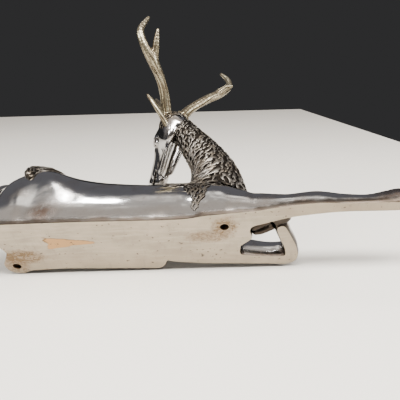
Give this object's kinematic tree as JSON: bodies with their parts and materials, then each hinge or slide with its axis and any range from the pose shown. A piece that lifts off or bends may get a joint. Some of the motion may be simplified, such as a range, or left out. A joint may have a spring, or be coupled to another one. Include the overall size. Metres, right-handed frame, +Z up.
{
  "type": "hood ornament",
  "caption": "Leaping stag mascot with a turned head, branched antlers, one foreleg stretched out and one folded, and a flat drilled belly.",
  "frame": {"origin": "centre of the front stud hole's mouth, in the plane of the flat belly", "axes": "+X towards the extended front hoof, +Y to the stag's left, +Z up from the belly through the back"},
  "size_m": [0.3019, 0.1092, 0.1712],
  "materials": {
    "plated_body": "polished plate, worn and stained, ground dull on the belly",
    "chased_hair": "dull nickel with dark recesses",
    "dull_horn": "thin warm nickel over brass, satin",
    "dowel_steel": "plain drawn rod"
  },
  "bodies": {
    "root": {"torso": "plated_body", "head": "plated_body", "foreleg_right": "plated_body", "foreleg_left": "plated_body", "hind_leg_right": "plated_body", "hind_leg_left": "plated_body", "neck_mane": "chased_hair", "tail": "chased_hair", "antler_left": "dull_horn", "antler_right": "dull_horn", "ear_left": "dull_horn", "ear_right": "dull_horn", "neck_dowel": "dowel_steel", "head_dowel": "dowel_steel", "foreleg_dowel": "dowel_steel", "elbow_dowel": "dowel_steel", "hind_dowel_right": "dowel_steel", "hind_dowel_left": "dowel_steel", "tail_pin": "dowel_steel", "antler_pin_left": "dowel_steel", "antler_pin_right": "dowel_steel"}
  },
  "joints": []
}
